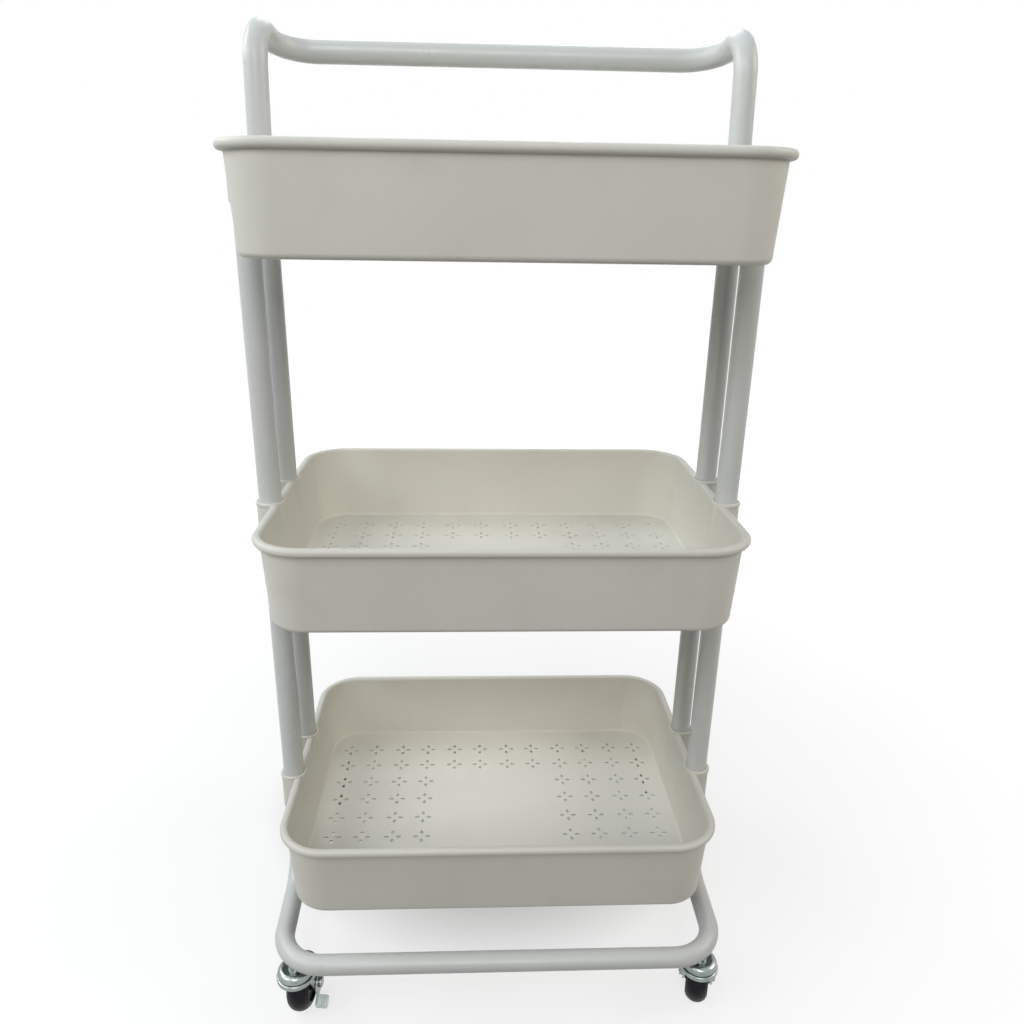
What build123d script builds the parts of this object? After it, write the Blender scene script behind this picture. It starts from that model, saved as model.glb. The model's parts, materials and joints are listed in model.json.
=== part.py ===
from build123d import *
import os
from math import cos, hypot, radians, sin, sqrt, tan

# Rolling utility cart: three moulded trays on bent round tubes, with four swivel casters.
# Millimetres. The origin is on the floor under the middle of the cart, +Z up, +X to the right
# along the trays' long side, and the front, with the handle away from it, towards -Y.

# Trays
TRAY_LENGTH = 419.0
TRAY_WIDTH = 317.0
TRAY_DEPTH = 79.0
TRAY_WALL = 2.2
TRAY_FLOOR = 2.4
TRAY_PITCH = 296.0
RIM_CORNER = 45.5
RIM_HEIGHT = 7.2
RIM_OVERHANG = 5.3
RIM_TOP_ROUND = 3.4
RIM_UNDER_ROUND = 3.2
RIM_INNER_ROUND = 3.0
WALL_DRAFT = 3.5
FLOOR_EDGE_ROUND = 5.0

# Drain holes in the tray floors, as four-petal flowers set in pairs
FLOWER_COLUMNS = 12
FLOWER_ROWS = 8
PLAIN_COLUMNS = 4
PLAIN_ROWS = 4
FLOWER_STEP_X = 31.0
FLOWER_STEP_Y = 30.9
PAIR_GAP_X = 1.8
PAIR_GAP_Y = 1.0
PETAL_LENGTH = 5.8
PETAL_WIDTH = 3.6
PETAL_OFFSET = 6.4

# Tubes, and the collars on the trays that hold them
TUBE_RADIUS = 10.3
TUBE_WALL = 1.2
TUBE_CLEARANCE = 0.15
POST_OUTSET = 2.0
POST_SPACING = 72.0
COLLAR_WALL = 2.0
COLLAR_HEIGHT = 41.0
COLLAR_ROUND = 2.0
COLLAR_LIP = 3.4
COLLAR_LIP_RISE = 1.4
COLLAR_LIP_REACH = 0.9
COLLAR_LIP_ROUND = 1.2
LEDGE_THICKNESS = 3.0
SPIGOT_LENGTH = 18.0
SPIGOT_CLEARANCE = 0.15
CAP_CROWN = 0.8

# Handle
HANDLE_APEX = 105.5
HANDLE_BAR_HEIGHT = 92.0
HANDLE_BACK = 76.0
HANDLE_NARROWING = 4.0
HANDLE_LEAN = 2.5
HANDLE_LEAN_START = 8.0
HANDLE_LEAN_BEND = 100.0
HANDLE_TOP_BEND = 30.0
HANDLE_CORNER_BEND = 40.0

# Base frames
BASE_TUBE_RADIUS = 9.5
BASE_DROP = 116.5
BASE_REACH = 138.0
BASE_NARROWING = 3.0
LEG_BEND = 45.0
CORNER_BEND = 42.0

# Casters
WHEEL_RADIUS = 27.0
WHEEL_WIDTH = 21.5
TREAD_EDGE_RADIUS = 20.5
WHEEL_RIM_RADIUS = 18.0
WHEEL_HUB_RADIUS = 8.0
WHEEL_DISH = 3.0
CASTER_TRAIL = 18.5
CASTER_PLACE = 42.0
RUNNING_CLEARANCE = 0.06
PART_GAP = 0.4
STEM_RADIUS = 4.0
STEM_FLANGE_RADIUS = 6.5
STEM_FLANGE = 1.8
STEM_HEAD = 2.4
CROWN_GAP = 1.8
CROWN_RADIUS = 17.8
CROWN_SKIRT = 4.8
SHEET = 2.0
CHEEK_GAP = 2.0
CHEEK_TOP_FRONT = 8.0
CHEEK_TOP_BACK = 10.0
AXLE_BOSS_RADIUS = 8.5
BALL_RADIUS = 2.0
BALL_COUNT = 12
BALL_CLEARANCE = 0.1
BALL_CIRCLE = 10.5
CUP_RADIUS = 16.4
CUP_SKIRT = 3.0
CUP_SHOULDER_RADIUS = 12.4
CUP_RECESS_RADIUS = 10.8
CUP_RECESS = 1.8
CUP_BOSS_RADIUS = 5.8
CUP_ROOF = 3.8
CUP_BOSS_RISE = 2.4
BUSHING_RADIUS = 6.0
BUSHING_SHOWS = 0.6
BUSHING_CLEARANCE = 0.05
AXLE_RADIUS = 3.0
SLEEVE_WALL = 1.5
AXLE_HEAD_RADIUS = 5.2
AXLE_HEAD = 2.6
NUT_WIDTH = 10.0
NUT_THICKNESS = 3.2
AXLE_TIP = 1.0

# Brake levers
LEVER_SHEET = 1.6
LEVER_DISC_RADIUS = 11.0
LEVER_ARM_WIDTH = 11.0
PEDAL_INNER = 11.0
PEDAL_OUTER = 23.0
PEDAL_REACH = 12.5
PEDAL_CORNER = 2.5
PEDAL_ANGLE = 225.0
PEDAL_RIBS = 5
RIB_HEIGHT = 0.7
RIB_WIDTH = 1.3

# Each caster: its name, its side along X and Y, how far its wheel is turned at rest, and its brake
CASTERS = (
    ("front_left", -1, -1, 6.0, True),
    ("front_right", 1, -1, 18.0, False),
    ("rear_right", 1, 1, 186.0, True),
    ("rear_left", -1, 1, 198.0, False),
)

# Heights and places that follow from the sizes above
TUBE_BORE = TUBE_RADIUS - TUBE_WALL
SPIGOT_RADIUS = TUBE_BORE - SPIGOT_CLEARANCE
SPIGOT_BORE = SPIGOT_RADIUS - TUBE_WALL
SPIGOT_SHOULDER = 2.0 * TUBE_WALL
BASE_TUBE_BORE = BASE_TUBE_RADIUS - TUBE_WALL
SOCKET_DEPTH = SPIGOT_LENGTH - LEDGE_THICKNESS + PART_GAP
COLLAR_BORE = TUBE_RADIUS + TUBE_CLEARANCE
COLLAR_RADIUS = COLLAR_BORE + COLLAR_WALL
LEDGE_BORE = SPIGOT_RADIUS + TUBE_CLEARANCE
SEAT_DEPTH = (COLLAR_HEIGHT - LEDGE_THICKNESS) / 2.0
POST_X = TRAY_LENGTH / 2.0 + POST_OUTSET
POST_Y = POST_SPACING / 2.0

CROWN_BOTTOM = 2.0 * WHEEL_RADIUS + CROWN_GAP
CROWN_TOP = CROWN_BOTTOM + SHEET
CUP_CEILING = CROWN_TOP + 2.0 * BALL_RADIUS + 2.0 * BALL_CLEARANCE
CUP_TOP = CUP_CEILING + CUP_ROOF
BUSHING_BOTTOM = CUP_TOP + CUP_BOSS_RISE
BASE_HEIGHT = BUSHING_BOTTOM + BUSHING_SHOWS + BASE_TUBE_RADIUS
BUSHING_TOP = BASE_HEIGHT + sqrt(BASE_TUBE_BORE**2 - BUSHING_RADIUS**2) - 2.0 * PART_GAP
CHEEK_INNER = WHEEL_WIDTH / 2.0 + CHEEK_GAP
CHEEK_OUTER = CHEEK_INNER + SHEET
LEVER_INNER = CHEEK_OUTER + PART_GAP
LEVER_OUTER = LEVER_INNER + LEVER_SHEET
SLEEVE_RADIUS = AXLE_RADIUS + RUNNING_CLEARANCE + SLEEVE_WALL

BASE_X = POST_X - BASE_NARROWING
BASE_Y = POST_Y + BASE_REACH
BEND_MIDDLE_X = BASE_X - CORNER_BEND * (hypot(BASE_REACH, BASE_NARROWING) - BASE_NARROWING) / BASE_REACH
BEND_MIDDLE_Y = BASE_Y - CORNER_BEND
CASTER_X = BEND_MIDDLE_X + CORNER_BEND * sin(radians(CASTER_PLACE))
CASTER_Y = BEND_MIDDLE_Y + CORNER_BEND * cos(radians(CASTER_PLACE))

BOTTOM_RIM = BASE_HEIGHT + BASE_DROP
MIDDLE_RIM = BOTTOM_RIM + TRAY_PITCH
TOP_RIM = MIDDLE_RIM + TRAY_PITCH

UPRIGHT = (Align.CENTER, Align.CENTER, Align.MIN)


def rod(radius, bottom, top):
    """Upright round bar on the Z axis between two heights."""
    return Pos(0, 0, bottom) * Cylinder(radius, top - bottom, align=UPRIGHT)


def ring(outer, inner, bottom, top):
    """Upright round sleeve on the Z axis between two heights."""
    return rod(outer, bottom, top) - rod(inner, bottom, top)


def axle_bar(radius, start, end):
    """Round bar along X between two places, on the wheel's axis."""
    bar = Cylinder(radius, end - start, align=UPRIGHT)
    return Pos(start, CASTER_TRAIL, WHEEL_RADIUS) * Rot(0, 90, 0) * bar


def post_places():
    """The four places, seen from above, where tubes pass through each tray."""
    return [(x, y) for x in (-POST_X, POST_X) for y in (-POST_Y, POST_Y)]


# Trays


def wall_outline(depth, inset):
    """The tray wall's outline at a depth below the rim's top, inset from its outer face."""
    shrink = RIM_OVERHANG + inset + depth * tan(radians(WALL_DRAFT))
    outline = RectangleRounded(
        TRAY_LENGTH - 2.0 * shrink, TRAY_WIDTH - 2.0 * shrink, RIM_CORNER - shrink
    )
    return Pos(0, 0, -depth) * outline


def tapered_box(depth, inset, edge_round):
    """The space inside the wall's outline, down to a depth, with a rounded bottom edge."""
    box = loft([wall_outline(0.0, inset), wall_outline(depth, inset)], ruled=True)
    return fillet(box.edges().group_by(Axis.Z)[0], edge_round)


def rim_slab():
    """The rolled rim as a filled slab with rounded edges."""
    slab = extrude(RectangleRounded(TRAY_LENGTH, TRAY_WIDTH, RIM_CORNER), -RIM_HEIGHT)
    slab = fillet(slab.edges().group_by(Axis.Z)[-1], RIM_TOP_ROUND)
    return fillet(slab.edges().group_by(Axis.Z)[0], RIM_UNDER_ROUND)


def paired_places(count, step, pair_gap):
    """Places along a line, centred on zero, in pairs that stand a little apart."""
    places = [index * step + (index // 2) * pair_gap for index in range(count)]
    middle = (places[0] + places[-1]) / 2.0
    return [place - middle for place in places]


def flower_places():
    """The drain flowers' centres: a full grid without its plain middle panel."""
    columns = paired_places(FLOWER_COLUMNS, FLOWER_STEP_X, PAIR_GAP_X)
    rows = paired_places(FLOWER_ROWS, FLOWER_STEP_Y, PAIR_GAP_Y)
    side_columns = (FLOWER_COLUMNS - PLAIN_COLUMNS) // 2
    side_rows = (FLOWER_ROWS - PLAIN_ROWS) // 2
    places = []
    for column, x in enumerate(columns):
        for row, y in enumerate(rows):
            plain_column = side_columns <= column < FLOWER_COLUMNS - side_columns
            plain_row = side_rows <= row < FLOWER_ROWS - side_rows
            if not (plain_column and plain_row):
                places.append((x, y))
    return places


def petal_cutters():
    """One lozenge through the floor for every petal of every flower."""
    half_length = PETAL_LENGTH / 2.0
    half_width = PETAL_WIDTH / 2.0
    lozenge = Polygon((-half_length, 0), (0, -half_width), (half_length, 0), (0, half_width))
    petal = extrude(lozenge, TRAY_FLOOR, both=True)
    cutters = []
    for x, y in flower_places():
        for turn in (0, 90, 180, 270):
            place = Pos(x, y, -TRAY_DEPTH + TRAY_FLOOR / 2.0) * Rot(0, 0, turn)
            cutters.append(place * Pos(PETAL_OFFSET, 0, 0) * petal)
    return cutters


def tray():
    """One tray with its rim's top at zero height."""
    outer = tapered_box(TRAY_DEPTH, 0.0, FLOOR_EDGE_ROUND)
    inner_round = FLOOR_EDGE_ROUND - min(TRAY_WALL, TRAY_FLOOR)
    cavity = tapered_box(TRAY_DEPTH - TRAY_FLOOR, TRAY_WALL, inner_round)
    shell = outer + rim_slab() - cavity
    mouth = shell.faces().sort_by(Axis.Z)[-1].inner_wires()[0]
    shell = fillet(mouth.edges(), RIM_INNER_ROUND)

    sleeve = rod(COLLAR_RADIUS, -COLLAR_HEIGHT, 0.0)
    sleeve = fillet(sleeve.edges().group_by(Axis.Z)[0], COLLAR_ROUND)
    lip = rod(COLLAR_RADIUS + COLLAR_LIP_REACH, COLLAR_LIP_RISE - COLLAR_LIP, COLLAR_LIP_RISE)
    lip = fillet(lip.edges(), COLLAR_LIP_ROUND)
    bulge = rod(COLLAR_RADIUS, -TRAY_DEPTH + FLOOR_EDGE_ROUND, 0.0)
    upper_bore = rod(COLLAR_BORE, -SEAT_DEPTH, RIM_HEIGHT)
    lower_bore = rod(COLLAR_BORE, -TRAY_DEPTH - RIM_HEIGHT, -SEAT_DEPTH - LEDGE_THICKNESS)
    ledge_bore = rod(LEDGE_BORE, -COLLAR_HEIGHT, 0.0)
    bore = upper_bore + lower_bore + ledge_bore

    collars = []
    bores = []
    for x, y in post_places():
        collars.append(Pos(x, y, 0) * sleeve)
        collars.append(Pos(x, y, 0) * lip)
        collars.append((Pos(x, y, 0) * bulge) & outer)
        bores.append(Pos(x, y, 0) * bore)
    return shell + collars - bores - petal_cutters()


# Tubes


def spigot_end(x, y, shoulder):
    """A tube's swaged lower end: a shoulder that sits on a collar's ledge, and its spigot."""
    seat = ring(TUBE_RADIUS, SPIGOT_BORE, shoulder, shoulder + SPIGOT_SHOULDER)
    plug = ring(SPIGOT_RADIUS, SPIGOT_BORE, shoulder - SPIGOT_LENGTH, shoulder)
    return Pos(x, y, 0) * (seat + plug)


def post(x, y, lower_rim, upper_rim):
    """A straight post between the ledges of two trays."""
    shoulder = lower_rim - SEAT_DEPTH
    end = upper_rim - SEAT_DEPTH - LEDGE_THICKNESS
    tube = ring(TUBE_RADIUS, TUBE_BORE, shoulder + SPIGOT_SHOULDER, end)
    return Pos(x, y, 0) * tube + spigot_end(x, y, shoulder)


def socket_end(x, y, top):
    """A base frame's belled upper end, which takes a post's spigot."""
    neck = top - SOCKET_DEPTH
    bell = ring(TUBE_RADIUS, TUBE_BORE, neck, top)
    step = ring(TUBE_RADIUS, BASE_TUBE_BORE, neck - SPIGOT_SHOULDER, neck)
    return Pos(x, y, 0) * (bell + step)


def bent_tube(radius, corners, bends):
    """A hollow tube along straight runs that are joined by bends."""
    path = FilletPolyline(*corners, radius=bends)
    start = Plane(origin=path @ 0, z_dir=path % 0)
    section = start * (Circle(radius) - Circle(radius - TUBE_WALL))
    return sweep(section, path=path)


def mirrored(corners):
    """The corners of a tube's left half, from those of its right half, in the tube's order."""
    return [(-x, y, z) for x, y, z in reversed(corners)]


def handle():
    """The handle: up from the top tray's rear collars, leaning in a little, then back and across."""
    shoulder = TOP_RIM - SEAT_DEPTH
    apex_x = POST_X - HANDLE_LEAN
    bar_x = POST_X - HANDLE_NARROWING
    bar_y = POST_Y + HANDLE_BACK
    bar = TOP_RIM + HANDLE_BAR_HEIGHT
    corners = [
        (POST_X, POST_Y, shoulder + SPIGOT_SHOULDER),
        (POST_X, POST_Y, TOP_RIM + HANDLE_LEAN_START),
        (apex_x, POST_Y, TOP_RIM + HANDLE_APEX),
        (bar_x, bar_y, bar),
    ]
    bends = [HANDLE_LEAN_BEND, HANDLE_TOP_BEND, HANDLE_CORNER_BEND]
    tube = bent_tube(TUBE_RADIUS, corners + mirrored(corners), bends + bends[::-1])
    return tube + [spigot_end(x, POST_Y, shoulder) for x in (-POST_X, POST_X)]


def base_frame(side):
    """A base frame: down from the bottom tray's collars, outwards, and across."""
    top = BOTTOM_RIM - SEAT_DEPTH - LEDGE_THICKNESS
    corners = [
        (POST_X, side * POST_Y, top - SOCKET_DEPTH - SPIGOT_SHOULDER),
        (POST_X, side * POST_Y, BASE_HEIGHT),
        (BASE_X, side * BASE_Y, BASE_HEIGHT),
    ]
    bends = [LEG_BEND, CORNER_BEND]
    tube = bent_tube(BASE_TUBE_RADIUS, corners + mirrored(corners), bends + bends[::-1])
    ends = [socket_end(x, side * POST_Y, top) for x in (-POST_X, POST_X)]
    hole = rod(BUSHING_RADIUS + BUSHING_CLEARANCE, BUSHING_BOTTOM, BASE_HEIGHT)
    holes = [Pos(x, side * CASTER_Y, 0) * hole for x in (-CASTER_X, CASTER_X)]
    return tube + ends - holes


def post_caps():
    """The plugs that close the two front posts at the top tray."""
    seat = TOP_RIM - SEAT_DEPTH
    plug = rod(TUBE_RADIUS, seat, TOP_RIM + COLLAR_LIP_RISE + CAP_CROWN)
    plug = fillet(plug.edges().group_by(Axis.Z)[-1], CAP_CROWN)
    spigot = rod(SPIGOT_RADIUS, seat - SPIGOT_LENGTH, seat)
    cap = plug + spigot
    return [Pos(x, -POST_Y, 0) * cap for x in (-POST_X, POST_X)]


def caster_bushings():
    """The threaded bushings in the base frames that take the casters' stems."""
    bushing = ring(BUSHING_RADIUS, STEM_RADIUS + BUSHING_CLEARANCE, BUSHING_BOTTOM, BUSHING_TOP)
    return [Pos(x, y, 0) * bushing for x in (-CASTER_X, CASTER_X) for y in (-CASTER_Y, CASTER_Y)]


# Casters: each piece is made with the stem on the Z axis and the wheel trailing along +Y


def caster_stem():
    """The stem: threaded into its bushing, flanged under the cup, riveted under the crown."""
    shank = rod(STEM_RADIUS, CROWN_BOTTOM - PART_GAP, BUSHING_TOP)
    flange = rod(STEM_FLANGE_RADIUS, CUP_CEILING - STEM_FLANGE, CUP_CEILING)
    head_top = CROWN_BOTTOM - PART_GAP
    head = rod(STEM_FLANGE_RADIUS, head_top - STEM_HEAD, head_top)
    head = fillet(head.edges().group_by(Axis.Z)[0], STEM_HEAD / 2.0)
    return shank + flange + head


def caster_cup():
    """The fixed upper race: a domed cup with a stamped recess, open below."""
    skirt_bottom = CROWN_TOP + PART_GAP
    inner_radius = CUP_RADIUS - SHEET
    recess_floor = CUP_TOP - CUP_RECESS
    bore = STEM_RADIUS + BUSHING_CLEARANCE
    with BuildPart() as cup:
        with BuildSketch(Plane.XZ):
            with BuildLine():
                Line((bore, CUP_CEILING), (inner_radius, CUP_CEILING))
                Line((inner_radius, CUP_CEILING), (inner_radius, skirt_bottom))
                Line((inner_radius, skirt_bottom), (CUP_RADIUS, skirt_bottom))
                Line((CUP_RADIUS, skirt_bottom), (CUP_RADIUS, skirt_bottom + CUP_SKIRT))
                TangentArc(
                    (CUP_RADIUS, skirt_bottom + CUP_SKIRT), (CUP_SHOULDER_RADIUS, CUP_TOP), tangent=(0, 1)
                )
                Line((CUP_SHOULDER_RADIUS, CUP_TOP), (CUP_RECESS_RADIUS, recess_floor))
                Line((CUP_RECESS_RADIUS, recess_floor), (CUP_BOSS_RADIUS, recess_floor))
                Line((CUP_BOSS_RADIUS, recess_floor), (CUP_BOSS_RADIUS, BUSHING_BOTTOM))
                Line((CUP_BOSS_RADIUS, BUSHING_BOTTOM), (bore, BUSHING_BOTTOM))
                Line((bore, BUSHING_BOTTOM), (bore, CUP_CEILING))
            make_face()
        revolve(axis=Axis.Z)
    return cup.part


def bearing_balls():
    """The ring of balls between the cup and the fork's crown."""
    height = CROWN_TOP + BALL_CLEARANCE + BALL_RADIUS
    ball = Pos(BALL_CIRCLE, 0, height) * Sphere(BALL_RADIUS)
    return [Rot(0, 0, index * 360.0 / BALL_COUNT) * ball for index in range(BALL_COUNT)]


def fork():
    """The fork: a round crown with a skirt, open over the wheel, and two cheeks down to the axle."""
    crown = ring(CROWN_RADIUS, STEM_RADIUS + RUNNING_CLEARANCE, CROWN_BOTTOM, CROWN_TOP)
    skirt = ring(CROWN_RADIUS, CROWN_RADIUS - SHEET, CROWN_TOP - CROWN_SKIRT, CROWN_BOTTOM)
    wheel_gap = Box(2.0 * CHEEK_INNER, 2.0 * CROWN_RADIUS, 2.0 * CROWN_SKIRT)
    skirt -= Pos(0, CROWN_RADIUS, CROWN_BOTTOM) * wheel_gap
    boss = Pos(CASTER_TRAIL, WHEEL_RADIUS) * Circle(AXLE_BOSS_RADIUS)
    top_middle = (CHEEK_TOP_BACK - CHEEK_TOP_FRONT) / 2.0
    top = Pos(top_middle, (CROWN_BOTTOM + CROWN_TOP) / 2.0) * Rectangle(
        CHEEK_TOP_FRONT + CHEEK_TOP_BACK, SHEET
    )
    outline = make_hull(boss.edges() + top.edges())
    cheeks = [
        extrude(Plane.YZ.offset(start) * outline, SHEET) for start in (CHEEK_INNER, -CHEEK_OUTER)
    ]
    axle_hole = axle_bar(AXLE_RADIUS + BUSHING_CLEARANCE, -CHEEK_OUTER - SHEET, CHEEK_OUTER + SHEET)
    return crown + skirt + cheeks - axle_hole


def axle_seat(locks):
    """How far out the axle's head sits: outside the brake lever where there is one."""
    return LEVER_OUTER + PART_GAP if locks else CHEEK_OUTER


def axle(locks):
    """The axle bolt, with its head on the +X side."""
    seat = axle_seat(locks)
    shank = axle_bar(AXLE_RADIUS, -CHEEK_OUTER - NUT_THICKNESS - AXLE_TIP, seat)
    head = axle_bar(AXLE_HEAD_RADIUS, seat, seat + AXLE_HEAD)
    head = fillet(head.edges().group_by(Axis.X)[-1], AXLE_HEAD / 2.0)
    return shank + head


def axle_nut():
    """The hexagon nut on the axle's other end."""
    hexagon = RegularPolygon(NUT_WIDTH / 2.0, 6, major_radius=False) - Circle(
        AXLE_RADIUS + BUSHING_CLEARANCE
    )
    nut = extrude(hexagon, NUT_THICKNESS)
    return Pos(-CHEEK_OUTER, CASTER_TRAIL, WHEEL_RADIUS) * Rot(0, -90, 0) * nut


def axle_sleeve():
    """The sleeve that the wheel turns on, held between the cheeks."""
    outside = axle_bar(SLEEVE_RADIUS, -CHEEK_INNER, CHEEK_INNER)
    return outside - axle_bar(AXLE_RADIUS + BUSHING_CLEARANCE, -CHEEK_INNER, CHEEK_INNER)


def wheel():
    """The wheel: a rounded tread on a dished body, bored for its sleeve."""
    bore = SLEEVE_RADIUS + RUNNING_CLEARANCE
    hub = CHEEK_INNER - PART_GAP
    side = WHEEL_WIDTH / 2.0
    web = side - WHEEL_DISH
    with BuildPart() as body:
        with BuildSketch(Plane.XZ):
            with BuildLine():
                Polyline(
                    (TREAD_EDGE_RADIUS, -side),
                    (WHEEL_RIM_RADIUS, -side),
                    (WHEEL_RIM_RADIUS, -web),
                    (WHEEL_HUB_RADIUS, -web),
                    (WHEEL_HUB_RADIUS, -hub),
                    (bore, -hub),
                    (bore, hub),
                    (WHEEL_HUB_RADIUS, hub),
                    (WHEEL_HUB_RADIUS, web),
                    (WHEEL_RIM_RADIUS, web),
                    (WHEEL_RIM_RADIUS, side),
                    (TREAD_EDGE_RADIUS, side),
                )
                ThreePointArc((TREAD_EDGE_RADIUS, side), (WHEEL_RADIUS, 0), (TREAD_EDGE_RADIUS, -side))
            make_face()
        revolve(axis=Axis.Z)
    return Pos(0, CASTER_TRAIL, WHEEL_RADIUS) * Rot(0, 90, 0) * body.part


def brake_lever():
    """The brake lever: a disc on the axle, and a ribbed pedal that stands out from it."""
    disc = Circle(LEVER_DISC_RADIUS)
    arm_length = PEDAL_OUTER - PEDAL_CORNER
    arm = Rot(0, 0, PEDAL_ANGLE) * Pos(arm_length / 2.0, 0) * Rectangle(arm_length, LEVER_SHEET)
    web = Rot(0, 0, PEDAL_ANGLE) * Pos(PEDAL_INNER / 2.0, 0) * Rectangle(PEDAL_INNER, LEVER_ARM_WIDTH)
    outline = Plane.YZ.offset(LEVER_INNER) * Pos(CASTER_TRAIL, WHEEL_RADIUS) * (disc + web + arm)
    plate = extrude(outline, LEVER_SHEET)

    length = PEDAL_OUTER - PEDAL_INNER
    middle = (PEDAL_INNER + PEDAL_OUTER) / 2.0
    frame = Pos(LEVER_INNER, CASTER_TRAIL, WHEEL_RADIUS) * Rot(PEDAL_ANGLE, 0, 0)
    tongue = extrude(RectangleRounded(PEDAL_REACH, length, PEDAL_CORNER), LEVER_SHEET / 2.0, both=True)
    tongue = frame * Pos(PEDAL_REACH / 2.0, middle, 0) * tongue
    ribs = []
    for index in range(PEDAL_RIBS):
        x = (index + 1.0) * PEDAL_REACH / (PEDAL_RIBS + 0.5)
        rib = Box(RIB_WIDTH, length - PEDAL_CORNER, LEVER_SHEET + 2.0 * RIB_HEIGHT)
        ribs.append(frame * Pos(x, middle, 0) * rib)
    hole = axle_bar(AXLE_RADIUS + RUNNING_CLEARANCE, LEVER_INNER - SHEET, LEVER_OUTER + SHEET)
    return plate + tongue + ribs - hole


def caster_nodes():
    """Every caster's pieces at their places on the cart, by node name."""
    nodes = {}
    for name, side_x, side_y, turn, locks in CASTERS:
        place = Pos(side_x * CASTER_X, side_y * CASTER_Y, 0) * Rot(0, 0, -turn)
        pieces = {
            "caster_stem": caster_stem(),
            "caster_cup": caster_cup(),
            "bearing_balls": bearing_balls(),
            "fork": fork(),
            "axle": axle(locks),
            "axle_nut": axle_nut(),
            "axle_sleeve": axle_sleeve(),
            "wheel": wheel(),
        }
        if locks:
            pieces["brake_lever"] = brake_lever()
        for piece, shape in pieces.items():
            solids = shape if isinstance(shape, list) else [shape]
            nodes[f"{piece}_{name}"] = [place * solid for solid in solids]
    return nodes


def cart_nodes():
    """Every node of the cart, as lists of solids by name."""
    one_tray = tray()
    nodes = {
        "top_tray": [Pos(0, 0, TOP_RIM) * one_tray],
        "middle_tray": [Pos(0, 0, MIDDLE_RIM) * one_tray],
        "bottom_tray": [Pos(0, 0, BOTTOM_RIM) * one_tray],
        "handle": [handle()],
        "front_base_frame": [base_frame(-1)],
        "rear_base_frame": [base_frame(1)],
        "post_caps": post_caps(),
        "caster_bushings": caster_bushings(),
    }
    for depth_name, y in (("front", -POST_Y), ("rear", POST_Y)):
        for side_name, x in (("left", -POST_X), ("right", POST_X)):
            place = f"{depth_name}_{side_name}"
            nodes[f"upper_post_{place}"] = [post(x, y, MIDDLE_RIM, TOP_RIM)]
            nodes[f"lower_post_{place}"] = [post(x, y, BOTTOM_RIM, MIDDLE_RIM)]
    nodes.update(caster_nodes())
    return nodes


def main():
    os.makedirs("parts", exist_ok=True)
    for name, solids in cart_nodes().items():
        shape = solids[0] if len(solids) == 1 else Compound(children=solids)
        export_step(shape, f"parts/{name}.step")
    print("stems", round(CASTER_X, 3), round(CASTER_Y, 3), "trail", CASTER_TRAIL)
    print("rims", [round(rim, 3) for rim in (BOTTOM_RIM, MIDDLE_RIM, TOP_RIM)])
    print("base tube height", round(BASE_HEIGHT, 3), "posts", POST_X, POST_Y)


main()
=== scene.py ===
import json
from math import asin, cos, degrees, pi, radians, sin, tan

import bmesh
import bpy
from mathutils import Matrix, Vector
from mathutils.geometry import convex_hull_2d, delaunay_2d_cdt


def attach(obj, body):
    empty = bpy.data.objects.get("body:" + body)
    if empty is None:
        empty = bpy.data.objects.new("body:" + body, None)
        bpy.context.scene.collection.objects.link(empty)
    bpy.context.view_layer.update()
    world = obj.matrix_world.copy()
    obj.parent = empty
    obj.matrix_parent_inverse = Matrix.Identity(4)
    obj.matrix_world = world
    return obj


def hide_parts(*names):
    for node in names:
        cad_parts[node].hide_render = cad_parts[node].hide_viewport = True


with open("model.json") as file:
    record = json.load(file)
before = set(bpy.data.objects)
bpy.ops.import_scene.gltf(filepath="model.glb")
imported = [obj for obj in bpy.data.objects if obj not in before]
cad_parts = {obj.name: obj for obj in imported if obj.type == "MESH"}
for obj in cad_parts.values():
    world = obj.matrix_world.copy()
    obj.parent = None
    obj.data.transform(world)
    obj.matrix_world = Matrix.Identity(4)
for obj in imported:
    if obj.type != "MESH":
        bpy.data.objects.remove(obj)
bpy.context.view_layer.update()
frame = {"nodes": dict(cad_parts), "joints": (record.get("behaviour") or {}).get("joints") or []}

# Rolling utility cart: its looks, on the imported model. Sizes are in millimetres, as in the part's source.
MM = 0.001

# Meshes in general
ROUND_STEPS = 6
SHARP_ANGLE = 35.0
BEVEL_SEGMENTS = 2
WELD_DISTANCE = 0.002
TRIANGLES_INSIDE = 1
PLANE_TOLERANCE = 1e-7

# Trays
TRAY_LENGTH = 419.0
TRAY_WIDTH = 317.0
TRAY_DEPTH = 79.0
TRAY_WALL = 2.2
TRAY_FLOOR = 2.4
TRAY_PITCH = 296.0
RIM_CORNER = 45.5
RIM_HEIGHT = 7.2
RIM_OVERHANG = 5.3
RIM_TOP_ROUND = 3.4
RIM_UNDER_ROUND = 3.2
RIM_INNER_ROUND = 3.0
RIM_NECK_ROUND = 0.8
RIM_ROUND_STEPS = 8
WALL_DRAFT = 3.5
FLOOR_EDGE_ROUND = 5.0
CORNER_STEPS = 18
SIDE_STEPS = 24

# Drain holes
FLOWER_COLUMNS = 12
FLOWER_ROWS = 8
PLAIN_COLUMNS = 4
PLAIN_ROWS = 4
FLOWER_STEP_X = 31.0
FLOWER_STEP_Y = 30.9
PAIR_GAP_X = 1.8
PAIR_GAP_Y = 1.0
PETALS = 4
PETAL_LENGTH = 5.6
PETAL_WIDTH = 3.3
PETAL_OFFSET = 6.4
PETAL_EDGE = 0.25
PETAL_POINTS = 12

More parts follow.
